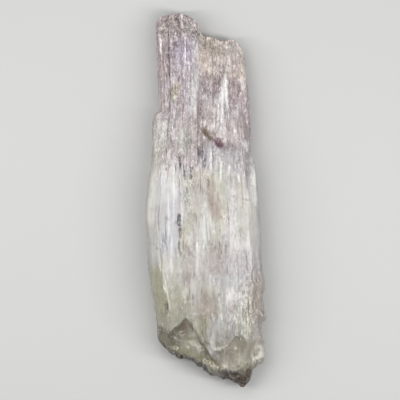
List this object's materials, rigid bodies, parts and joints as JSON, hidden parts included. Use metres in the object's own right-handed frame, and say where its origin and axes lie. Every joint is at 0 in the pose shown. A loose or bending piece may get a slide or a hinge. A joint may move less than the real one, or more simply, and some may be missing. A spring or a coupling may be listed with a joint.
{
  "type": "kunzite crystal",
  "caption": "Long flattened kunzite crystal with striated sides, a stepped etched tip, a diagonal crevice and a broken base, lying on its cleavage plane.",
  "frame": {"origin": "middle of the footprint, on the surface that the crystal lies on", "axes": "+X across the broad front face, +Y along the crystal towards its tip, +Z out of the front face"},
  "size_m": [0.0674, 0.21, 0.036],
  "materials": {
    "kunzite": "natural growth and cleavage surface, silky along the striations, milky and half clear"
  },
  "bodies": {
    "root": {"kunzite_crystal": "kunzite"}
  },
  "joints": []
}
